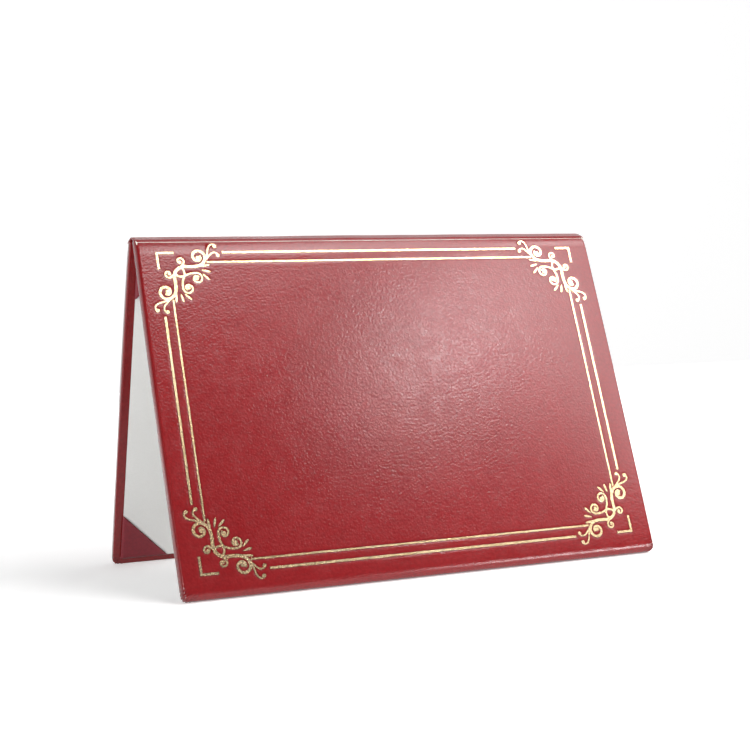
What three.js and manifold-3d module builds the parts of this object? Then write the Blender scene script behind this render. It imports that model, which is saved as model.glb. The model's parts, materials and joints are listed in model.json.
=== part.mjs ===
// Diploma cover: two padded covers joined by a hinge along their long top edges,
// standing half open on the floor like a tent.
//
// Each cover is a greyboard with a foam pad on its outer side, wrapped in leatherette
// whose margin is turned in over the inner face and hidden by a white liner card.
// The back cover's liner carries four corner pockets for the sheet, and the front
// cover is stamped in gold foil with a double rule and scrolled corners.
//
// Millimetres, +Z up, floor at z = 0. X runs along the hinge and -Y is the front.

import * as THREE from 'three';
import { mergeVertices } from 'three/addons/utils/BufferGeometryUtils.js';
import Module from 'manifold-3d';

const wasm = await Module();
wasm.setup();

// Covers
const COVER_WIDTH = 310;          // along the hinge
const COVER_HEIGHT = 219;         // from the hinged edge to the foot
const SPREAD = 40.5;              // degrees between the covers as they stand
const HINGE_REACH = 3;            // hinge line to each cover's hinged edge
const BOARD_THICKNESS = 2;
const FOAM_THICKNESS = 2.8;
const SKIN = 0.6;                 // leatherette
const GLUE_LINE = 0.2;            // clearance between glued layers
const TURN_IN = 15;               // leatherette folded over the inner face
const ROLL_WIDTH = 6;             // padded long edges, measured across the face
const ROLL_DEPTH = 4;             // and through the cover
const END_ROLL = 1.6;             // tighter roll of the short ends
const FOOT_RADIUS = 4;            // corners at the foot, seen face on
const HINGE_RADIUS = 2;           // corners at the hinged edge
const INNER_ROUND = 0.5;          // where the leatherette folds onto the inner face

// Liner and pockets
const LINER_THICKNESS = 0.6;
const LINER_MARGIN = 5;           // leatherette left showing around the liner
const POCKET_LEG = 31;            // along each edge of the liner
const POCKET_SKIN = 0.4;
const SHEET_SLOT = 0.4;           // room for a sheet between pocket and liner
const CLOSED_CLEARANCE = 0.5;     // between pockets and front liner, covers closed

// Spine
const SPINE_THICKNESS = 0.8;
const SPINE_RISE = 0.6;           // top of the spine above the hinge line
const SPINE_LANDING = 3.6;        // where it meets the cover's edge, above the inner face
const LINING_THICKNESS = 0.5;
const LINING_RADIUS = 1.6;        // fold of the inner hinge cloth

// Foil
const FOIL_THICKNESS = 0.2;
const FOIL_SEAT = 0.1;
const RULE_MARGIN_X = 13.5;       // outer rule's centre line to the cover's ends
const RULE_MARGIN_Y = 12.2;       // and to its long edges
const FOIL_SHIFT_X = -1.5;        // stamping set a little to the left
const FOIL_SHIFT_Y = 1.5;         // and a little towards the hinge
const OUTER_RULE_WIDTH = 1.4;
const INNER_RULE_WIDTH = 1.1;
const RULE_SPACING = 6.2;         // centre line to centre line
const OUTER_RULE_START = 40.5;    // from the rules' corner
const INNER_RULE_START = 30;      // just clear of the scroll's stem
const BRACKET_ARM = 10.3;

const panelThickness = 2 * SKIN + 3 * GLUE_LINE + FOAM_THICKNESS + BOARD_THICKNESS;
const wall = SKIN + GLUE_LINE;

const leatherette = new THREE.MeshStandardMaterial({ color: 0x8c3038, roughness: 0.38 });
const pocketLeather = new THREE.MeshStandardMaterial({ color: 0x7e2630, roughness: 0.42 });
const greyboard = new THREE.MeshStandardMaterial({ color: 0x8f8a80, roughness: 0.95 });
const foam = new THREE.MeshStandardMaterial({ color: 0xe9e6dc, roughness: 1 });
const card = new THREE.MeshStandardMaterial({ color: 0xe9e8e6, roughness: 0.8 });
const cloth = new THREE.MeshStandardMaterial({ color: 0x6a222b, roughness: 0.7 });
const gold = new THREE.MeshStandardMaterial({ color: 0xe6cf9a, roughness: 0.28, metalness: 0.9 });

// Solids

function toSolid(geometry) {
  const g = geometry.clone();
  g.deleteAttribute('normal');
  g.deleteAttribute('uv');
  const merged = mergeVertices(g, 1e-4);
  return new wasm.Manifold(new wasm.Mesh({
    numProp: 3,
    vertProperties: new Float32Array(merged.attributes.position.array),
    triVerts: new Uint32Array(merged.index.array),
  }));
}

function toGeometry(solid) {
  const m = solid.getMesh();
  const g = new THREE.BufferGeometry();
  g.setAttribute('position', new THREE.BufferAttribute(new Float32Array(m.vertProperties), 3));
  g.setIndex(new THREE.BufferAttribute(new Uint32Array(m.triVerts), 1));
  g.computeVertexNormals();
  return g;
}

function piece(name, solid, material) {
  const mesh = new THREE.Mesh(toGeometry(solid), material);
  mesh.name = name;
  return mesh;
}

function block(x0, x1, y0, y1, z0, z1) {
  const g = new THREE.BoxGeometry(x1 - x0, y1 - y0, z1 - z0);
  g.translate((x0 + x1) / 2, (y0 + y1) / 2, (z0 + z1) / 2);
  return toSolid(g);
}

function prism(points, z0, depth) {
  const g = new THREE.ExtrudeGeometry(new THREE.Shape(points), { depth, bevelEnabled: false });
  g.translate(0, 0, z0);
  return toSolid(g);
}

// The cover's outline, drawn in by an inset
function coverOutline(inset) {
  const x = COVER_WIDTH / 2 - inset;
  const y = COVER_HEIGHT / 2 - inset;
  const foot = FOOT_RADIUS - inset;
  const head = HINGE_RADIUS - inset;
  const shape = new THREE.Shape();
  shape.moveTo(-x + foot, -y);
  shape.lineTo(x - foot, -y);
  shape.absarc(x - foot, -y + foot, foot, -Math.PI / 2, 0);
  shape.lineTo(x, y - head);
  shape.absarc(x - head, y - head, head, 0, Math.PI / 2);
  shape.lineTo(-x + head, y);
  shape.absarc(-x + head, y - head, head, Math.PI / 2, Math.PI);
  shape.lineTo(-x, -y + foot);
  shape.absarc(-x + foot, -y + foot, foot, Math.PI, 1.5 * Math.PI);
  return shape;
}

// A slab of that outline whose edges round off at both faces
function rolledSlab(offset, roll, z0, z1, bevelSegments) {
  const g = new THREE.ExtrudeGeometry(coverOutline(offset + roll), {
    depth: z1 - z0 - 2 * roll,
    curveSegments: 3,
    bevelSize: roll,
    bevelThickness: roll,
    bevelSegments,
  });
  g.translate(0, 0, z0 + roll);
  return toSolid(g);
}

// A section drawn across the hinge and up, run the length of the cover
function alongHinge(section) {
  const upright = new THREE.Matrix4().makeRotationX(Math.PI / 2);
  upright.premultiply(new THREE.Matrix4().makeRotationZ(Math.PI / 2));
  return prism(section, -COVER_WIDTH / 2, COVER_WIDTH).transform(upright.elements);
}

// The cover's own section, shrunk by an offset: rolled at the outer face, square within
function cushion(offset, z0, z1) {
  const top = panelThickness - offset;
  const edge = COVER_HEIGHT / 2 - offset;
  const across = ROLL_WIDTH - offset;
  const through = ROLL_DEPTH - offset;
  const section = [];
  for (let i = 0; i <= 5; i += 1) {
    const q = (i / 10) * Math.PI;
    section.push(new THREE.Vector2(edge - across + across * Math.cos(q), top - through + through * Math.sin(q)));
  }
  for (const p of [...section].reverse()) section.push(new THREE.Vector2(-p.x, p.y));
  section.push(new THREE.Vector2(-edge, z0 - 1), new THREE.Vector2(edge, z0 - 1));
  const span = COVER_WIDTH + COVER_HEIGHT;
  return rolledSlab(offset, END_ROLL - offset, -top, top, 2)
    .intersect(alongHinge(section))
    .intersect(block(-span, span, -span, span, z0, z1));
}

// Cover pieces. Each is built flat about the cover's centre, inner face at z = 0
// and outer face up, with the hinged edge at +Y.

function wrap() {
  const folded = rolledSlab(0, INNER_ROUND, 0, 3 * panelThickness, 2);
  const outside = cushion(0, 0, panelThickness).intersect(folded);
  const room = cushion(SKIN, SKIN, panelThickness - SKIN);
  const x = COVER_WIDTH / 2 - TURN_IN;
  const y = COVER_HEIGHT / 2 - TURN_IN;
  return outside.subtract(room).subtract(block(-x, x, -y, y, -1, panelThickness / 2));
}

const boardBase = SKIN + GLUE_LINE;
const foamBase = boardBase + BOARD_THICKNESS + GLUE_LINE;

function board() {
  return cushion(wall, boardBase, boardBase + BOARD_THICKNESS);
}

function pad() {
  return cushion(wall, foamBase, foamBase + FOAM_THICKNESS);
}

const linerWidth = COVER_WIDTH - 2 * LINER_MARGIN;
const linerHeight = COVER_HEIGHT - 2 * LINER_MARGIN;

function liner(back) {
  return block(-linerWidth / 2, linerWidth / 2, -linerHeight / 2, linerHeight / 2,
    back - LINER_THICKNESS, back);
}

const pocketedLinerBack = -(2 * GLUE_LINE + POCKET_SKIN);
const pocketFace = pocketedLinerBack - LINER_THICKNESS - SHEET_SLOT - POCKET_SKIN;

// A triangular sleeve round one corner of the liner, open along its long side
function pocket(sideX, sideY) {
  const corner = (out, reach) => {
    const x = linerWidth / 2;
    const y = linerHeight / 2;
    return [
      new THREE.Vector2(sideX * (x + out), sideY * (y + out)),
      new THREE.Vector2(sideX * (x - reach), sideY * (y + out)),
      new THREE.Vector2(sideX * (x + out), sideY * (y - reach)),
    ];
  };
  const sleeve = prism(corner(GLUE_LINE + POCKET_SKIN, POCKET_LEG), pocketFace, -GLUE_LINE - pocketFace);
  const mouth = prism(corner(GLUE_LINE, 2 * POCKET_LEG),
    pocketFace + POCKET_SKIN, SHEET_SLOT + LINER_THICKNESS + GLUE_LINE);
  return sleeve.subtract(mouth);
}

// Foil. Drawn from the corner of the outer rule: a runs along the hinge, b across it.

const ruleX = COVER_WIDTH / 2 - RULE_MARGIN_X;
const ruleY = COVER_HEIGHT / 2 - RULE_MARGIN_Y;
const foilBase = panelThickness + FOIL_SEAT;

function toCover(sideX, sideY, [a, b]) {
  return new THREE.Vector2(sideX * (ruleX - a) + FOIL_SHIFT_X, sideY * (ruleY - b) + FOIL_SHIFT_Y);
}

function foilShape(sideX, sideY, outline) {
  return prism(outline.map((p) => toCover(sideX, sideY, p)), foilBase, FOIL_THICKNESS);
}

// Outline of a stroke along a smooth line of points; width(t) is its width at t from 0 to 1
function stroke(points, width, steps) {
  const line = new THREE.CatmullRomCurve3(points.map(([a, b]) => new THREE.Vector3(a, b, 0)));
  const left = [];
  const right = [];
  for (let i = 0; i <= steps; i += 1) {
    const t = i / steps;
    const p = line.getPoint(t);
    const d = line.getTangent(t);
    const h = width(t) / 2;
    left.push([p.x - d.y * h, p.y + d.x * h]);
    right.unshift([p.x + d.y * h, p.y - d.x * h]);
  }
  return left.concat(right);
}

const tapered = (from, to) => (t) => from + (to - from) * t;
const mirrored = (outline) => outline.map(([a, b]) => [b, a]);

// Points that wind in from a start angle, radius r0 shrinking to r1
function coil([a, b], angle, turns, r0, r1) {
  const points = [];
  const n = Math.round(Math.abs(turns) * 10);
  for (let i = 0; i <= n; i += 1) {
    const t = i / n;
    const r = r0 + (r1 - r0) * t ** 1.4;
    const q = THREE.MathUtils.degToRad(angle) + turns * 2 * Math.PI * t;
    points.push([a + r * Math.cos(q), b + r * Math.sin(q)]);
  }
  return points;
}

function bead([a, b], radius) {
  const outline = [];
  for (let i = 0; i < 10; i += 1) {
    const q = (i / 10) * 2 * Math.PI;
    outline.push([a + radius * Math.cos(q), b + radius * Math.sin(q)]);
  }
  return outline;
}

function leaf([a0, b0], [a1, b1], width) {
  const outline = [];
  const da = a1 - a0;
  const db = b1 - b0;
  const length = Math.hypot(da, db);
  for (let i = 0; i < 10; i += 1) {
    const q = (i / 10) * 2 * Math.PI;
    const along = (1 - Math.cos(q)) / 2;
    const across = (width / 2) * Math.sin(q) * (0.55 + 0.45 * along) / length;
    outline.push([a0 + da * along - db * across, b0 + db * along + da * across]);
  }
  return outline;
}

// The corner scroll is its own mirror image in the corner's diagonal: one stem runs
// from great coil to great coil, and everything else is drawn for one half
const GREAT = [25, 2.8];
const SMALL = [13.6, 5.5];
const INNER = [22.8, 16.5];
const halfStem = [[13.2, 9.4], [16.2, 8.9], [20.2, 9], [24.2, 8.7], [27.6, 7],
  ...coil(GREAT, 18, -1.15, 4.5, 1.1)];
const stem = stroke([...mirrored(halfStem).reverse(), [10.9, 10.9], ...halfStem],
  (t) => 2 - 0.6 * Math.abs(2 * t - 1), 52);
const halfScroll = [
  bead([GREAT[0] - 0.3, GREAT[1] + 0.7], 1.3),
  stroke([[11.6, 10.4], [13.8, 9.1], ...coil(SMALL, 38, -1, 2.4, 0.8)], tapered(1.3, 1), 12),
  bead([SMALL[0] - 0.1, SMALL[1] + 0.3], 0.9),
  stroke([[9.4, 13.6], [11.6, 15.2], [14.6, 15.2], [17.6, 13.7],
    ...coil(INNER, -100, 1.2, 3.4, 1)], tapered(1.2, 1.2), 20),
  bead([INNER[0] - 0.3, INNER[1] + 0.3], 1.1),
  stroke([[29.4, 4], [30.9, 1.4], [31.7, -2], [33.2, -4.7], [35.3, -5.3], [36.9, -4.4]],
    tapered(1.1, 0.9), 7),
  bead([36.4, -4], 1.2),
  stroke([[29.4, 4.8], [31.8, 2.4], [33.8, 0.5], [36.2, 0], [38, 1.3]], tapered(1.1, 0.9), 6),
  bead([37.6, 1.8], 1.15),
  leaf([25.4, 8.9], [31.8, 7.9], 1.7),
];
const freeLeaves = [
  leaf([26.1, 11.3], [31.7, 12.6], 1.7),
  leaf([26.4, 13.7], [30.3, 17.7], 1.7),
];

const CORNERS = [
  ['top_left', -1, 1],
  ['top_right', 1, 1],
  ['bottom_left', -1, -1],
  ['bottom_right', 1, -1],
];

function bar(from, to, width) {
  const ends = [from, to];
  const x = ends.map((p) => p.x);
  const y = ends.map((p) => p.y);
  const along = Math.abs(x[1] - x[0]) > Math.abs(y[1] - y[0]);
  const gx = along ? 0 : width / 2;
  const gy = along ? width / 2 : 0;
  return block(Math.min(...x) - gx, Math.max(...x) + gx, Math.min(...y) - gy, Math.max(...y) + gy,
    foilBase, foilBase + FOIL_THICKNESS);
}

function scroll(sx, sy) {
  const outlines = [stem, ...halfScroll, ...halfScroll.map(mirrored)];
  return wasm.Manifold.union(outlines.map((outline) => foilShape(sx, sy, outline)));
}

function bracket(sx, sy) {
  const h = OUTER_RULE_WIDTH / 2;
  return foilShape(sx, sy, [[-h, -h], [BRACKET_ARM, -h], [BRACKET_ARM, h], [h, h],
    [h, BRACKET_ARM], [-h, BRACKET_ARM]]);
}

function foilPieces() {
  const pieces = [];
  const rules = [
    ['outer', [OUTER_RULE_START, 0], OUTER_RULE_WIDTH],
    ['inner', [INNER_RULE_START, RULE_SPACING], INNER_RULE_WIDTH],
  ];
  for (const [kind, end, width] of rules) {
    const across = [end[1], end[0]];
    for (const [name, side] of [['top', 1], ['bottom', -1]]) {
      const rule = bar(toCover(-1, side, end), toCover(1, side, end), width);
      pieces.push(piece(`foil_${kind}_rule_${name}`, rule, gold));
    }
    for (const [name, side] of [['left', -1], ['right', 1]]) {
      const rule = bar(toCover(side, -1, across), toCover(side, 1, across), width);
      pieces.push(piece(`foil_${kind}_rule_${name}`, rule, gold));
    }
  }
  for (const [name, sx, sy] of CORNERS) {
    pieces.push(piece(`foil_scroll_${name}`, scroll(sx, sy), gold));
    pieces.push(piece(`foil_bracket_${name}`, bracket(sx, sy), gold));
    const leaves = [...freeLeaves, ...freeLeaves.map(mirrored)];
    leaves.forEach((outline, i) => {
      pieces.push(piece(`foil_leaf_${name}_${i + 1}`, foilShape(sx, sy, outline), gold));
    });
  }
  return pieces;
}

// Covers, hung from the hinge line. The inner face stands off the hinge's plane by half
// of what lies between the covers when they are closed.
const frontStack = GLUE_LINE + LINER_THICKNESS;
const standOff = (frontStack - pocketFace + CLOSED_CLEARANCE) / 2;
const halfSpread = THREE.MathUtils.degToRad(SPREAD / 2);

function cover(name, pieces) {
  const flat = new THREE.Group();
  flat.position.set(0, -HINGE_REACH - COVER_HEIGHT / 2, standOff);
  flat.add(piece(`${name}_board`, board(), greyboard));
  flat.add(piece(`${name}_foam`, pad(), foam));
  flat.add(piece(`${name}_wrap`, wrap(), leatherette));
  flat.add(...pieces);
  const leaning = new THREE.Group();
  leaning.rotation.x = Math.PI / 2 - halfSpread;
  leaning.add(flat);
  return leaning;
}

const front = cover('front', [
  piece('front_liner', liner(-GLUE_LINE), card),
  ...foilPieces(),
]);

const back = new THREE.Group();
back.rotation.z = Math.PI;
back.add(cover('back', [
  piece('back_liner', liner(pocketedLinerBack), card),
  ...CORNERS.map(([name, sx, sy]) => piece(`pocket_${name}`, pocket(-sx, sy), pocketLeather)),
]));

// Spine and inner hinge cloth. Each is drawn as a line across the hinge, run into the
// covers' edges and then cut back to meet them square.
// Points are taken in a cover's own section (along it, out from the hinge's plane).
function inSection(side, along, out) {
  const s = Math.sin(halfSpread);
  const c = Math.cos(halfSpread);
  return new THREE.Vector2(side * (along * s + out * c), -along * c + out * s);
}

// The room that one cover takes up, from its hinged edge on
function coverRoom(side) {
  const reach = 8;
  const room = block(-COVER_WIDTH, COVER_WIDTH, -HINGE_REACH - reach, GLUE_LINE - HINGE_REACH,
    -reach, standOff + panelThickness + reach);
  const turn = new THREE.Matrix4().makeRotationX(Math.PI / 2 - halfSpread);
  if (side > 0) turn.premultiply(new THREE.Matrix4().makeRotationZ(Math.PI));
  return room.transform(turn.elements);
}

function acrossHinge(line, thickness) {
  const curve = new THREE.CatmullRomCurve3(line.map((p) => new THREE.Vector3(p.x, p.y, 0)));
  const steps = 16;
  const upper = [];
  const lower = [];
  for (let i = 0; i <= steps; i += 1) {
    const p = curve.getPoint(i / steps);
    const d = curve.getTangent(i / steps);
    upper.push(new THREE.Vector2(p.x, p.y));
    lower.unshift(new THREE.Vector2(p.x + d.y * thickness, p.y - d.x * thickness));
  }
  return alongHinge(upper.concat(lower)).subtract(coverRoom(-1)).subtract(coverRoom(1));
}

// A line that mirrors itself about the hinge, from the middle out to one cover
function mirroredLine(points) {
  const other = points.slice(1).map((p) => new THREE.Vector2(-p.x, p.y)).reverse();
  return other.concat(points);
}

const spineEnd = inSection(1, HINGE_REACH + 1, standOff + SPINE_LANDING);
const spine = acrossHinge(mirroredLine([
  new THREE.Vector2(0, SPINE_RISE),
  new THREE.Vector2(spineEnd.x * 0.5, SPINE_RISE * 0.6),
  spineEnd,
]), SPINE_THICKNESS);

const liningEnd = inSection(1, HINGE_REACH + 1, standOff + LINING_THICKNESS);
const lining = acrossHinge(mirroredLine([
  new THREE.Vector2(0, -LINING_RADIUS * 0.75),
  new THREE.Vector2(LINING_RADIUS * 0.8, -LINING_RADIUS),
  liningEnd,
]), LINING_THICKNESS);

const diplomaCover = new THREE.Group();
diplomaCover.add(front, back);
diplomaCover.add(piece('spine_strip', spine, leatherette));
diplomaCover.add(piece('hinge_lining', lining, cloth));

// Stand the covers' feet on the floor
diplomaCover.updateMatrixWorld(true);
diplomaCover.position.z = -new THREE.Box3().setFromObject(diplomaCover, true).min.z;

export default diplomaCover;
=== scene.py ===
"""A diploma cover, half open like a tent, with its leatherette, foil, liners and pockets."""
import json
import math
import bmesh
import bpy
import numpy as np
from mathutils import Matrix, Vector
from mathutils.bvhtree import BVHTree


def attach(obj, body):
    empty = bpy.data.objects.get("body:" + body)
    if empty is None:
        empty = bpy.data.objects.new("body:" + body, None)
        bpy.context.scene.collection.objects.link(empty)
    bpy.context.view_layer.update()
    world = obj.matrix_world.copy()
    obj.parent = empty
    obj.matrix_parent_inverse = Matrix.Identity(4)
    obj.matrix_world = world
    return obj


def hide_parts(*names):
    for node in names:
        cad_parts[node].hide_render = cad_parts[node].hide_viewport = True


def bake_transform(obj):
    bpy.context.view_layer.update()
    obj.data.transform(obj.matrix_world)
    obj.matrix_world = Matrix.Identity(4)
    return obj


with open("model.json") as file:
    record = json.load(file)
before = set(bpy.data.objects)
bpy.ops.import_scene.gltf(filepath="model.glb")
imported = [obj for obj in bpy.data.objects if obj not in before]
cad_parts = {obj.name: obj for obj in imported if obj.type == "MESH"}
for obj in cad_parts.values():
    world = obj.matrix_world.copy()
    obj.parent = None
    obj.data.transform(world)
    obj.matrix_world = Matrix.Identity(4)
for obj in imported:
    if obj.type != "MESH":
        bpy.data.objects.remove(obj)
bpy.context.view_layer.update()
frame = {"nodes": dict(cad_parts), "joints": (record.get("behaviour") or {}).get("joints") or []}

nodes = frame["nodes"]

# The cover's own measures, in millimetres
WIDTH = 310              # along the hinge
HEIGHT = 219             # across it
HINGE_REACH = 3          # hinge line to each cover's hinged edge
STAND_OFF = 1.75         # hinge line to the plane of each inner face
HALF_SPREAD = math.radians(20.25)
RIDGE = frame["joints"][0]["pos_m"][2] * 1000

# Rolled edges and corners, seen face on
HINGE_EDGE = 12
FOOT_EDGE = 7.5
END_EDGE = 1.9
FOOT_SQUARENESS = 3.0    # power of the roll's curve, where 2 is an ellipse
END_SQUARENESS = 2.4
FOOT_RADIUS = 3.6
HINGE_RADIUS = 1.4
END_BOW = 0.5            # the short ends bow out a little

# Heights above the inner face
SIDE_TOP = 2.3           # where the side starts to roll over
FACE = 6.68              # outer face at the end of the roll
SWELL = 0.06             # the padded face's further rise
UNEVEN = 0.015           # and its unevenness
GROOVE = 6.655           # bottom of the stamped lines
GROOVE_SLOPE = 1.0       # how far the skin slopes down to them

# Pleats round the corners at the foot
PLEAT_SPACING = 2.3
PLEAT_REACH = 6.5
FACE_PLEAT = 0.8
SIDE_PLEAT = 0.45
UNDER_PLEAT = 0.22

# Spine, liner margin and pockets
SPINE_THICKNESS = 0.8
CLOTH_THICKNESS = 0.5
MARGIN = 5               # leatherette left showing round the liner
LEG = 31.6               # pocket, along each edge of the liner
POCKET_FACE = -2.15      # its outer side: liner, sheet room and skins lie between
POCKET_SKIN = 0.38
HEM = 2.3
HEM_FOLD = 2.1
POCKET_STEPS = 26

# Where the floor starts and ends growing brighter, in metres from the middle
GLOW_START = 0.26
GLOW_END = 0.8

FRONT = -1
BACK = 1


def to_world(p, side):
    """From a cover's own millimetres (along the hinge, across it, out) to the row frame."""
    p = np.asarray(p, float).reshape(-1, 3)
    y = p[:, 1] - HINGE_REACH - HEIGHT / 2
    z = p[:, 2] + STAND_OFF
    a = math.pi / 2 - HALF_SPREAD
    out = np.stack([p[:, 0], y * math.cos(a) - z * math.sin(a),
                    y * math.sin(a) + z * math.cos(a)], 1)
    if side == BACK:
        out[:, :2] *= -1
    out[:, 2] += RIDGE
    return out / 1000


def to_front(p):
    """From the row frame back to the front cover's own millimetres."""
    p = np.asarray(p, float).reshape(-1, 3) * 1000
    z = p[:, 2] - RIDGE
    a = math.pi / 2 - HALF_SPREAD
    y = p[:, 1] * math.cos(a) + z * math.sin(a)
    w = -p[:, 1] * math.sin(a) + z * math.cos(a)
    return np.stack([p[:, 0], y + HINGE_REACH + HEIGHT / 2, w - STAND_OFF], 1)


def smooth(x):
    x = np.clip(x, 0, 1)
    return x * x * (3 - 2 * x)


def new_mesh(name, points, faces, material):
    mesh = bpy.data.meshes.new(name)
    mesh.from_pydata([tuple(p) for p in points], [], faces)
    mesh.validate()
    mesh.update()
    for polygon in mesh.polygons:
        polygon.use_smooth = True
    obj = bpy.data.objects.new(name, mesh)
    bpy.context.scene.collection.objects.link(obj)
    mesh.materials.append(material)
    return obj


# Materials

class Shader:
    """Short calls for building a node tree."""

    def __init__(self, name):
        self.material = bpy.data.materials.new(name)
        self.material.use_nodes = True
        self.tree = self.material.node_tree
        self.shader = self.tree.nodes["Principled BSDF"]
        coordinates = self.tree.nodes.new("ShaderNodeTexCoord")
        self.place = coordinates.outputs["Object"]

    def add(self, kind, inputs=None, **settings):
        node = self.tree.nodes.new("ShaderNode" + kind)
        for key, value in settings.items():
            setattr(node, key, value)
        for key, value in (inputs or {}).items():
            self.set(node.inputs[key], value)
        return node

    def set(self, socket, value):
        if isinstance(value, bpy.types.NodeSocket):
            self.tree.links.new(value, socket)
        else:
            socket.default_value = value

    def noise(self, scale, detail=3, roughness=0.5, place=None):
        return self.add("TexNoise", {"Vector": place or self.place, "Scale": scale,
                                     "Detail": detail, "Roughness": roughness}).outputs["Fac"]

    def cells(self, scale, randomness=1, feature="F1", place=None):
        return self.add("TexVoronoi", {"Vector": place or self.place, "Scale": scale,
                                       "Randomness": randomness},
                        feature=feature).outputs["Distance"]

    def math(self, operation, a, b=0.0):
        return self.add("Math", {0: a, 1: b}, operation=operation).outputs[0]

    def ramp(self, fac, low, high, from_low=0.3, from_high=0.7):
        return self.add("MapRange", {"Value": fac, "From Min": from_low, "From Max": from_high,
                                     "To Min": low, "To Max": high}).outputs["Result"]

    def mix(self, fac, a, b, blend="MIX"):
        node = self.add("Mix", data_type="RGBA", blend_type=blend)
        self.set(node.inputs["Factor"], fac)
        self.set(node.inputs[6], a)
        self.set(node.inputs[7], b)
        return node.outputs[2]

    def bump(self, height, strength, distance, normal=None):
        inputs = {"Height": height, "Strength": strength, "Distance": distance}
        if normal is not None:
            inputs["Normal"] = normal
        return self.add("Bump", inputs).outputs["Normal"]

    def finish(self, **sockets):
        for key, value in sockets.items():
            self.set(self.shader.inputs[key.replace("_", " ")], value)
        return self.material


def srgb(r, g, b):
    def linear(c):
        c /= 255
        return c / 12.92 if c <= 0.04045 else ((c + 0.055) / 1.055) ** 2.4
    return (linear(r), linear(g), linear(b), 1)


def leather(name, dark, light, roughness, grain=1.0, painted_shade_colour=None):
    n = Shader(name)
    clouds = n.noise(9, 4, 0.55)
    colour = n.mix(n.ramp(clouds, 0, 1), srgb(*dark), srgb(*light))
    pores = n.cells(620, 1, "SMOOTH_F1")
    colour = n.mix(n.ramp(pores, 0.0, 0.22, 0.25, 0.65), colour, srgb(*[c * 0.62 for c in dark]))
    # Painted shade: darkens the skin towards this colour in the pleats' folds and along the
    # stamped lines, by a point attribute of the mesh
    if painted_shade_colour is not None:
        painted_shade_mask = n.add("Attribute", attribute_name="painted_shade_mask", attribute_type="GEOMETRY")
        colour = n.mix(painted_shade_mask.outputs["Fac"], colour, srgb(*painted_shade_colour))
    pebbles = n.cells(820, 1, "SMOOTH_F1")
    warp = n.noise(1150, 2, 0.5)
    fine = n.noise(2200, 2, 0.5)
    waves = n.noise(38, 2, 0.4)
    height = n.math("ADD", n.math("MULTIPLY", pebbles, -0.8), n.math("MULTIPLY", warp, 0.35))
    height = n.math("ADD", height, n.math("MULTIPLY", fine, 0.2))
    normal = n.bump(height, 0.22 * grain, 0.0004)
    normal = n.bump(waves, 0.02, 0.0014, normal)
    rough = n.ramp(n.noise(120, 4, 0.6), roughness - 0.04, roughness + 0.05)
    return n.finish(Base_Color=colour, Roughness=rough, Normal=normal)


LEATHER_DARK = (125, 23, 26)
LEATHER_LIGHT = (137, 30, 33)
# (58, 14, 16) is the colour of the painted shade in the pleats and along the stamped lines
cover_leather = leather("cover_leatherette", LEATHER_DARK, LEATHER_LIGHT, 0.18, 1.0, (58, 14, 16))
pocket_leather = leather("pocket_leatherette", (118, 26, 38), (134, 33, 46), 0.42, 0.7)


def paper(name, colour, fibre, roughness):
    n = Shader(name)
    fibres = n.noise(1400, 5, 0.7)
    clouds = n.noise(30, 3, 0.5)
    tone = n.mix(n.ramp(fibres, 0, 1, 0.35, 0.75), srgb(*colour), srgb(*fibre))
    tone = n.mix(n.ramp(clouds, 0, 0.35), tone, srgb(*[c * 0.96 for c in colour]))
    normal = n.bump(fibres, 0.18, 0.00008)
    normal = n.bump(clouds, 0.25, 0.0006, normal)
    return n.finish(Base_Color=tone, Roughness=roughness, Normal=normal)


liner_card = paper("liner_card", (248, 248, 246), (238, 238, 235), 0.82)
grey_board = paper("greyboard", (146, 140, 130), (118, 112, 104), 0.95)
foam_pad = paper("foam", (236, 232, 222), (214, 208, 196), 1.0)


def hinge_cloth():
    n = Shader("hinge_cloth")
    thread = {"Vector": n.place, "Scale": 420, "Distortion": 0.4}
    warp = n.add("TexWave", thread, bands_direction="X")
    weft = n.add("TexWave", thread, bands_direction="Z")
    weave = n.math("MULTIPLY", warp.outputs["Fac"], weft.outputs["Fac"])
    colour = n.mix(weave, srgb(74, 24, 30), srgb(104, 36, 43))
    return n.finish(Base_Color=colour, Roughness=0.75, Normal=n.bump(weave, 0.4, 0.0002))


cloth = hinge_cloth()


def gold_foil():
    n = Shader("gold_foil")
    speckle = n.noise(620, 4, 0.7)
    blotch = n.noise(60, 3, 0.6)
    colour = n.mix(n.ramp(speckle, 0, 1, 0.38, 0.62), srgb(244, 212, 166), srgb(202, 166, 120))
    colour = n.mix(n.ramp(blotch, 0, 0.5), colour, srgb(252, 232, 194))
    rough = n.ramp(speckle, 0.22, 0.3, 0.3, 0.7)
    normal = n.bump(n.noise(1300, 3, 0.6), 0.3, 0.00022)
    return n.finish(Base_Color=colour, Roughness=rough, Metallic=1.0, Normal=normal)


foil = gold_foil()

FOIL_NODES = [name for name in nodes if name.startswith("foil_")]
for name in FOIL_NODES:
    nodes[name].data.materials.clear()
    nodes[name].data.materials.append(foil)
    for polygon in nodes[name].data.polygons:
        polygon.use_smooth = False
    pressed_rim = nodes[name].modifiers.new("pressed_rim", "BEVEL")
    pressed_rim.width = 0.00013
    pressed_rim.segments = 2
    pressed_rim.limit_method = "ANGLE"
    pressed_rim.angle_limit = math.radians(50)
for name, material in [("front_liner", liner_card), ("back_liner", liner_card),
                       ("front_board", grey_board), ("back_board", grey_board),
                       ("front_foam", foam_pad), ("back_foam", foam_pad)]:
    nodes[name].data.materials.clear()
    nodes[name].data.materials.append(material)

for name in ("front_liner", "back_liner"):
    soften = nodes[name].modifiers.new("edge", "BEVEL")
    soften.width = 0.00015
    soften.segments = 2


# Stamped lines: how far each point of the front face lies from the foil

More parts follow.
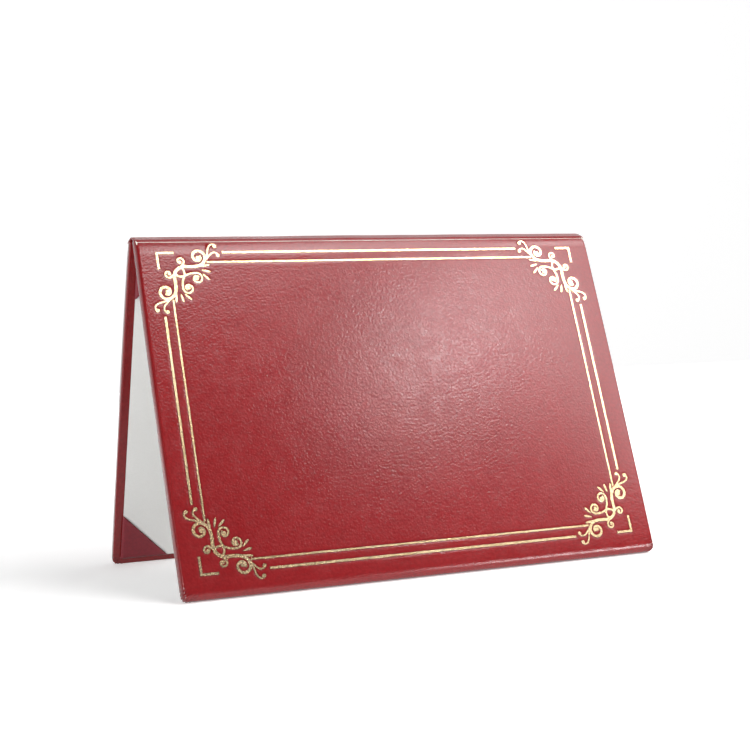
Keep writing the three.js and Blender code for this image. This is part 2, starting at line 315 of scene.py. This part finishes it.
def foil_distance(u, v):
    points = []
    faces = []
    for name in FOIL_NODES:
        mesh = nodes[name].data
        flat = to_front(np.array([p.co for p in mesh.vertices]))
        top = flat[:, 2].max() - 0.02
        base = len(points)
        points += [(p[0], p[1], 0) for p in flat]
        for polygon in mesh.polygons:
            if all(flat[i][2] > top for i in polygon.vertices):
                faces.append([base + i for i in polygon.vertices])
    tree = BVHTree.FromPolygons(points, faces)
    found = np.full(len(u), 9.0)
    for i in range(len(u)):
        hit = tree.find_nearest((u[i], v[i], 0), 2.5)
        if hit[3] is not None:
            found[i] = hit[3]
    return found


# Padded covers

def undulation(u, v, seed):
    """Gentle unevenness of the foam under the skin, from -1 to 1."""
    return (np.sin(u * 0.043 + seed) * np.cos(v * 0.051 - seed * 1.7)
            + 0.6 * np.sin(u * 0.107 - v * 0.083 + seed * 2.3)
            + 0.4 * np.sin(u * 0.19 + v * 0.15 + seed)) / 2


def rolled(distance, width, power=2.0):
    """Share of the full height over a rolled edge, 0 at the edge and 1 beyond its width."""
    return (1 - (1 - np.clip(distance / width, 0, 1)) ** power) ** (1 / power)


def rounded_corner(du, dv, radius):
    """Distances from a square corner's two edges, drawn in to a rounded corner."""
    x = (radius - du) / radius
    y = (radius - dv) / radius
    inside = (x > 0) & (y > 0)
    nx = x * np.sqrt(np.clip(1 - y * y / 2, 0, 1))
    ny = y * np.sqrt(np.clip(1 - x * x / 2, 0, 1))
    return (np.where(inside, radius * (1 - nx), du), np.where(inside, radius * (1 - ny), dv))


def gathers(du, dv, at_foot, corner):
    """Small pleats of the skin round the corners at the foot."""
    run = du - dv
    near = np.exp(-(run / PLEAT_REACH) ** 4) * at_foot
    phase = run * 2 * math.pi / PLEAT_SPACING + corner * 1.3
    return near * (0.6 * np.sin(phase) + 0.4 * np.sin(phase * 1.83 + 1) - 0.15)


def cover_top(gu, gv, side, stamped, seed):
    """Outer side of a cover over grid points: u, v, w, the pleats and the painted shade in their
    folds and along the stamped lines.
    """
    du = WIDTH / 2 - np.abs(gu)
    dv = HEIGHT / 2 - np.abs(gv)
    mu, mv = rounded_corner(du, dv, np.where(gv < 0, FOOT_RADIUS, HINGE_RADIUS))
    bow = END_BOW * (1 - (gv / (HEIGHT / 2)) ** 2) * smooth((np.abs(gu) - 140) / 15)
    u = np.sign(gu) * (WIDTH / 2 - mu + bow)
    v = np.sign(gv) * (HEIGHT / 2 - mv)

    foot_roll = rolled(dv, FOOT_EDGE, FOOT_SQUARENESS)
    long_edge = np.where(gv < 0, foot_roll, rolled(dv, HINGE_EDGE))
    w = SIDE_TOP + (FACE - SIDE_TOP) * long_edge * rolled(du, END_EDGE, END_SQUARENESS)
    w += SWELL * smooth((dv - 3) / 9) * smooth(du / 6)
    w += UNEVEN * undulation(gu, gv, seed) * smooth(du / 3) * smooth(dv / 6)

    pleats = gathers(du, dv, np.where(gv < 0, 1.0, 0.0), np.sign(gu) + 3 * side)
    from_edge = np.minimum(du, dv)
    hold = np.exp(-(from_edge / 3.0) ** 2)
    w += FACE_PLEAT * pleats * hold * smooth(from_edge / 0.5)
    # Painted shade in the pleats' folds
    shade = np.clip(-pleats * hold * 0.7, 0, 0.5)
    if stamped:
        distance = foil_distance(gu, gv)
        pressed = 1 - smooth((distance - 0.05) / GROOVE_SLOPE)
        w = w * (1 - pressed) + GROOVE * pressed
        # Painted shade along the stamped lines' sunken edges
        shade = np.maximum(shade, 0.55 * (1 - smooth((distance - 0.15) / 0.5)))
    return u, v, w, pleats, shade


def grid_rim(nu, nv):
    """The grid's outer points, once round."""
    rim = [i * nv for i in range(nu)]
    rim += [(nu - 1) * nv + j for j in range(1, nv)]
    rim += [i * nv + nv - 1 for i in range(nu - 2, -1, -1)]
    rim += [j for j in range(nv - 2, 0, -1)]
    return rim


# Below the rolled edge: out from the rim, height, how far in from the edge, gathering
SIDE_SECTION = [(0.05, SIDE_TOP - 0.5, 0, 0.6), (0.03, 1.2, 0, 1), (0, 0.7, 0, 1),
                (-0.12, 0.34, 0, 1), (-0.4, 0.08, 0, 1), (-0.8, 0, 0, 0.9), (0, 0, 1.6, 0.8),
                (0, 0, 2.6, 0.6), (0, 0, 3.7, 0.4), (0, 0, 4.8, 0.15), (0, 0, 6.4, 0)]


def cover_side(loop, folds):
    """Rings of points down the side and in under the cover, and their painted shade in the folds.
    """
    ahead = np.roll(loop, -1, axis=0) - np.roll(loop, 1, axis=0)
    outward = np.stack([ahead[:, 1], -ahead[:, 0]], 1)
    outward /= np.linalg.norm(outward, axis=1)[:, None] + 1e-9
    rings = []
    shades = []
    for out, height, inset, amount in SIDE_SECTION:
        if inset:
            p = np.stack([np.clip(loop[:, 0], inset - WIDTH / 2, WIDTH / 2 - inset),
                          np.clip(loop[:, 1], inset - HEIGHT / 2, HEIGHT / 2 - inset)], 1)
        else:
            p = loop + outward * (out + folds[:, None] * amount * SIDE_PLEAT)
        under = -folds * amount * UNDER_PLEAT if height < 0.1 else 0 * folds
        rings.append(np.stack([p[:, 0], p[:, 1], height + under], 1))
        # Painted shade in the folds of the gathered side
        shades.append(np.clip(-folds * amount, 0, 0.6))
    return rings, shades


def padded_cover(name, side, u_lines, v_lines, stamped, seed):
    gu, gv = np.meshgrid(u_lines, v_lines, indexing="ij")
    u, v, w, pleats, shade = cover_top(gu.ravel(), gv.ravel(), side, stamped, seed)
    nu = len(u_lines)
    nv = len(v_lines)
    rim = grid_rim(nu, nv)
    rings, ring_shades = cover_side(np.stack([u[rim], v[rim]], 1), pleats[rim])

    base = nu * nv
    count = len(rim)
    faces = []
    for i in range(nu - 1):
        for j in range(nv - 1):
            a = i * nv + j
            faces.append((a, a + nv, a + nv + 1, a + 1))
    for k in range(count):
        after = (k + 1) % count
        faces.append((rim[after], rim[k], base + k, base + after))
    for r in range(len(rings) - 1):
        low = base + r * count
        for k in range(count):
            after = (k + 1) % count
            faces.append((low + after, low + k, low + count + k, low + count + after))
    points = np.concatenate([np.stack([u, v, w], 1)] + rings)
    shades = np.concatenate([shade] + ring_shades)
    obj = new_mesh(name, to_world(points, side), faces, cover_leather)
    # The painted shade goes to the leather material as a point attribute
    painted_shade_mask = obj.data.attributes.new("painted_shade_mask", "FLOAT", "POINT")
    painted_shade_mask.data.foreach_set("value", shades.astype(np.float32))
    return obj


def lines(stops):
    """Grid lines from (start, step) pairs, the last giving only the end."""
    found = []
    for (start, step), (end, _) in zip(stops, stops[1:]):
        n = max(1, round((end - start) / step))
        found += [start + (end - start) * k / n for k in range(n)]
    return found + [stops[-1][0]]


def with_edges(middle, reach, near):
    """Lines across the whole cover: close together over the rolled edges."""
    left = [-reach + d for d in near]
    return np.array(left + middle + [-x for x in reversed(left)])


end_steps = [0, 0.04, 0.16, 0.36, 0.65, 1.0, 1.45, 1.9, 2.5, 3.2, 4.0, 4.9]
long_steps = [7.9 * (1 - math.cos(math.radians(5 * k))) for k in range(18)]
front_cover = padded_cover(
    "front_cover_leatherette", FRONT,
    with_edges(lines([(-149.2, 0.8), (-146, 0.58), (-98, 4), (97, 0.58), (144, 0.8), (149.2, 0)]),
               WIDTH / 2, end_steps),
    with_edges(lines([(-101.6, 0.7), (-98, 0.58), (-51, 4), (54, 0.58), (101.6, 0)]),
               HEIGHT / 2, long_steps),
    True, 0.7)
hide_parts("front_wrap")
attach(front_cover, "front_cover")

back_cover = padded_cover(
    "back_cover_leatherette", BACK,
    with_edges(lines([(-149.2, 1), (-140, 3), (140, 1), (149.2, 0)]), WIDTH / 2, end_steps),
    with_edges(lines([(-101.6, 1.2), (-95, 3), (95, 1.2), (101.6, 0)]), HEIGHT / 2, long_steps),
    False, 2.1)
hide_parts("back_wrap")
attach(back_cover, "back_cover")


# Spine and hinge cloth: strips across the hinge

def section_point(side, along, out):
    s, c = math.sin(HALF_SPREAD), math.cos(HALF_SPREAD)
    return np.array([side * (along * s + out * c), -along * c + out * s + RIDGE])


def curve_through(points, steps):
    """A smooth line through (y, z) points."""
    p = np.array(points)
    p = np.concatenate([[2 * p[0] - p[1]], p, [2 * p[-1] - p[-2]]])
    out = []
    for i in range(1, len(p) - 2):
        for k in range(steps):
            t = k / steps
            out.append(0.5 * (2 * p[i] + (p[i + 1] - p[i - 1]) * t
                              + (2 * p[i - 1] - 5 * p[i] + 4 * p[i + 1] - p[i + 2]) * t * t
                              + (3 * p[i] - 3 * p[i + 1] + p[i + 2] - p[i - 1]) * t ** 3))
    out.append(p[-2])
    return np.array(out)


def strip(name, line, thickness, reach, material, waviness):
    """A closed strip along the hinge: line is its upper side, from the back to the front."""
    xs = np.linspace(-reach, reach, 150)
    n = len(line)
    tangent = np.gradient(line, axis=0)
    tangent /= np.linalg.norm(tangent, axis=1)[:, None]
    under = np.stack([tangent[:, 1], -tangent[:, 0]], 1)
    if under[n // 2][1] > 0:
        under = -under
    points = []
    for x in xs:
        wave = waviness * (np.sin(x * 0.061) + 0.6 * np.sin(x * 0.17 + 1)) * np.sin(
            np.linspace(0, math.pi, n))[:, None] * under
        pinch = 0.5 * math.exp(-((abs(x) - reach) / 0.8) ** 2)
        upper = line + wave + under * thickness * 0.5 * pinch
        lower = line + wave + under * thickness * (1 - 0.5 * pinch)
        for p in list(upper) + list(lower[::-1]):
            points.append((x / 1000, p[0] / 1000, p[1] / 1000))
    ring = 2 * n
    faces = []
    for i in range(len(xs) - 1):
        for k in range(ring):
            after = (k + 1) % ring
            faces.append((i * ring + k, (i + 1) * ring + k,
                          (i + 1) * ring + after, i * ring + after))
    for end in (0, len(xs) - 1):
        for k in range(n - 1):
            quad = (end * ring + k, end * ring + k + 1, end * ring + ring - 2 - k,
                    end * ring + ring - 1 - k)
            faces.append(quad if end == 0 else quad[::-1])
    return new_mesh(name, points, faces, material)


spine_line = curve_through([
    np.array([y, RIDGE + z]) for y, z in [
        (7.8, -2.72), (6.6, -1.64), (3.5, -0.45), (0, 0.6),
        (-3.5, -0.45), (-6.6, -1.64), (-7.8, -2.72)]
], 7)
spine = strip("spine_leatherette", spine_line, SPINE_THICKNESS, WIDTH / 2 + 0.15,
              cover_leather, 0.05)
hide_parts("spine_strip")

lining_line = curve_through([
    section_point(BACK, HINGE_REACH + 1.5, STAND_OFF - 0.05),
    section_point(BACK, HINGE_REACH + 0.2, STAND_OFF + 0.1),
    np.array([1.4, RIDGE - 1.7]),
    np.array([0, RIDGE - 1.3]),
    np.array([-1.4, RIDGE - 1.7]),
    section_point(FRONT, HINGE_REACH + 0.2, STAND_OFF + 0.1),
    section_point(FRONT, HINGE_REACH + 1.5, STAND_OFF - 0.05),
], 6)
lining = strip("hinge_cloth", lining_line, CLOTH_THICKNESS, WIDTH / 2 - 1.5,
               cloth, 0.08)
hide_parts("hinge_lining")

for piece in (spine, lining):
    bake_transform(piece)


def face_outwards(mesh):
    """Faces all turned outwards."""
    bm = bmesh.new()
    bm.from_mesh(mesh)
    bmesh.ops.recalc_face_normals(bm, faces=bm.faces)
    bm.to_mesh(mesh)
    bm.free()


# Corner pockets: a triangle of leatherette with a folded hem, tucked round the liner's corner

def pocket_height(a, b, from_edge):
    """Outer side of a pocket, a and b from its corner and from_edge from its hem."""
    hem = float(smooth(np.array((HEM - from_edge) / 0.5)))
    fold = math.exp(-((from_edge - HEM_FOLD) / 0.5) ** 2)
    puff = 0.5 * math.sin(math.pi * min(1, (a + b) / LEG)) * min(1, a * b / 60)
    w = POCKET_FACE - 0.3 * hem + 0.12 * fold - puff * 0.6
    w -= 0.06 * math.sin(a * 0.6 + b * 0.4)
    tuck = 1 - float(smooth(np.array(min(a, b) / 1.6)))
    return w + 0.7 * tuck ** 2


def pocket(name, sx, sy):
    cu = sx * (WIDTH / 2 - MARGIN + 0.45)
    cv = sy * (HEIGHT / 2 - MARGIN + 0.45)
    n = POCKET_STEPS
    points = []
    index = {}
    # a runs along the hinge and b across it, and the diagonal edge is a + b = LEG
    for i in range(n + 1):
        for j in range(n + 1 - i):
            a = LEG * i / n
            b = LEG * j / n
            w = pocket_height(a, b, (LEG - a - b) * (1 / math.sqrt(2)))
            index[i, j] = len(points)
            points.append((cu - sx * a, cv - sy * b, w))
    front = len(points)
    faces = []
    for i in range(n):
        for j in range(n - i):
            faces.append((index[i, j], index[i + 1, j], index[i, j + 1]))
            if j + i < n - 1:
                faces.append((index[i + 1, j], index[i + 1, j + 1], index[i, j + 1]))
    # Under side, a skin's thickness in
    points += [(u, v, min(w + POCKET_SKIN, -0.08)) for u, v, w in points]
    faces += [tuple(front + k for k in reversed(f)) for f in faces]
    rim = [index[i, 0] for i in range(n + 1)] + [index[n - k, k] for k in range(1, n + 1)]
    rim += [index[0, j] for j in range(n - 1, 0, -1)]
    for k, a in enumerate(rim):
        b = rim[(k + 1) % len(rim)]
        faces.append((b, a, front + a, front + b))
    obj = new_mesh("corner_" + name, to_world(points, BACK), faces,
                   pocket_leather)
    face_outwards(obj.data)
    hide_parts("pocket_" + name)
    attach(obj, "back_cover")


for name, sx, sy in [("top_left", 1, 1), ("top_right", -1, 1),
                     ("bottom_left", 1, -1), ("bottom_right", -1, -1)]:
    pocket(name, sx, sy)

for obj in (front_cover, back_cover, spine, lining):
    face_outwards(obj.data)


# Stage

def add_to(tree, kind, **settings):
    node = tree.nodes.new("ShaderNode" + kind)
    for key, value in settings.items():
        setattr(node, key, value)
    return node


def seen_ray(tree):
    """1 for what the camera and reflections see, 0 for the light that a surface gives off."""
    path = add_to(tree, "LightPath")
    either = add_to(tree, "Math", operation="MAXIMUM")
    tree.links.new(path.outputs["Is Camera Ray"], either.inputs[0])
    tree.links.new(path.outputs["Is Glossy Ray"], either.inputs[1])
    return either.outputs[0]


def stage_material(name, shade, near, far):
    """A pale matt surface that looks brighter by near, at the object, to far, away from it."""
    material = bpy.data.materials.new(name)
    material.use_nodes = True
    tree = material.node_tree
    tree.nodes.clear()
    out = add_to(tree, "OutputMaterial")
    both = add_to(tree, "AddShader")
    diffuse = add_to(tree, "BsdfDiffuse")
    diffuse.inputs["Color"].default_value = (shade, shade, shade, 1)
    glow = add_to(tree, "Emission")
    place = add_to(tree, "TexCoord")
    reach = add_to(tree, "VectorMath", operation="LENGTH")
    away = add_to(tree, "MapRange", interpolation_type="SMOOTHSTEP")
    away.inputs["From Min"].default_value = GLOW_START
    away.inputs["From Max"].default_value = GLOW_END
    away.inputs["To Min"].default_value = near
    away.inputs["To Max"].default_value = far
    strength = add_to(tree, "Math", operation="MULTIPLY")
    tree.links.new(place.outputs["Object"], reach.inputs[0])
    tree.links.new(reach.outputs["Value"], away.inputs["Value"])
    tree.links.new(away.outputs["Result"], strength.inputs[0])
    tree.links.new(seen_ray(tree), strength.inputs[1])
    tree.links.new(strength.outputs[0], glow.inputs["Strength"])
    tree.links.new(diffuse.outputs[0], both.inputs[0])
    tree.links.new(glow.outputs[0], both.inputs[1])
    tree.links.new(both.outputs[0], out.inputs["Surface"])
    return material


def stage_sheet(name, corners, material):
    mesh = bpy.data.meshes.new(name)
    mesh.from_pydata(corners, [], [(0, 1, 2, 3)])
    mesh.materials.append(material)
    sheet = bpy.data.objects.new(name, mesh)
    bpy.context.scene.collection.objects.link(sheet)


stage_sheet("floor", [(-6, -6, 0), (6, -6, 0), (6, 6, 0), (-6, 6, 0)],
            stage_material("pale_floor", 0.85, 0.44, 1.1))
stage_sheet("backdrop", [(-6, 2.6, 0), (6, 2.6, 0), (6, 2.6, 5), (-6, 2.6, 5)],
            stage_material("pale_backdrop", 0.3, 0.9, 0.9))


def studio_world():
    world = bpy.data.worlds.new("studio")
    bpy.context.scene.world = world
    world.use_nodes = True
    tree = world.node_tree
    tree.nodes.clear()
    out = add_to(tree, "OutputWorld")
    dim = add_to(tree, "Background")
    dim.inputs["Strength"].default_value = 0.09
    white = add_to(tree, "Background")
    white.inputs["Strength"].default_value = 1.0
    for background in (dim, white):
        background.inputs["Color"].default_value = (1, 1, 1, 1)
    mix = add_to(tree, "MixShader")
    path = add_to(tree, "LightPath")
    tree.links.new(path.outputs["Is Camera Ray"], mix.inputs[0])
    tree.links.new(dim.outputs[0], mix.inputs[1])
    tree.links.new(white.outputs[0], mix.inputs[2])
    tree.links.new(mix.outputs[0], out.inputs["Surface"])


studio_world()


def lamp(name, azimuth, elevation, size, brightness, distance=2.2):
    """A soft box seen from the object at an azimuth (right of the front) and elevation."""
    a, e = math.radians(azimuth), math.radians(elevation)
    towards = Vector((math.sin(a) * math.cos(e), -math.cos(a) * math.cos(e), math.sin(e)))
    data = bpy.data.lights.new(name, "AREA")
    data.shape = "RECTANGLE"
    data.size, data.size_y = size
    data.energy = brightness * math.pi * size[0] * size[1]
    obj = bpy.data.objects.new(name, data)
    obj.location = Vector((0, 0, 0.1)) + towards * distance
    obj.rotation_euler = (-towards).to_track_quat("-Z", "Y").to_euler()
    bpy.context.scene.collection.objects.link(obj)


lamp("key_core", 32.2, 34.6, (0.2, 0.18), 28)
lamp("upper_left", 20, 49, (0.7, 0.45), 6.5)
lamp("right", 46, 29, (0.42, 0.42), 0.8, 1.0)
lamp("near_right", 62, 33, (0.4, 0.4), 3.8, 0.62)
lamp("low_right", 34, 3, (0.5, 0.3), 20)
lamp("top", 42, 57, (1.0, 0.8), 6)
lamp("over", 95, 70, (0.9, 0.8), 3)
lamp("left", -50, 7, (1.4, 0.6), 11.5)
lamp("back", 178, 18, (1.4, 0.8), 4)


# Camera, at the photograph's angle

def set_camera():
    yaw, pitch, roll = 0.41206, 0.03753, -0.03284
    forward = Vector((math.sin(yaw) * math.cos(pitch), math.cos(yaw) * math.cos(pitch),
                      -math.sin(pitch)))
    right = Vector((math.cos(yaw), -math.sin(yaw), 0))
    up = right.cross(forward)
    turned_right = math.cos(roll) * right + math.sin(roll) * up
    turned_up = -math.sin(roll) * right + math.cos(roll) * up
    data = bpy.data.cameras.new("camera")
    data.sensor_width = 36
    data.lens = 1486.2 / 750 * 36
    data.clip_start = 0.05
    data.clip_end = 50
    camera = bpy.data.objects.new("camera", data)
    camera.matrix_world = Matrix((
        (turned_right.x, turned_up.x, -forward.x, -0.3808),
        (turned_right.y, turned_up.y, -forward.y, -0.8747),
        (turned_right.z, turned_up.z, -forward.z, 0.1542),
        (0, 0, 0, 1)))
    bpy.context.scene.collection.objects.link(camera)
    bpy.context.scene.camera = camera


set_camera()
bpy.context.scene.view_settings.view_transform = "Standard"
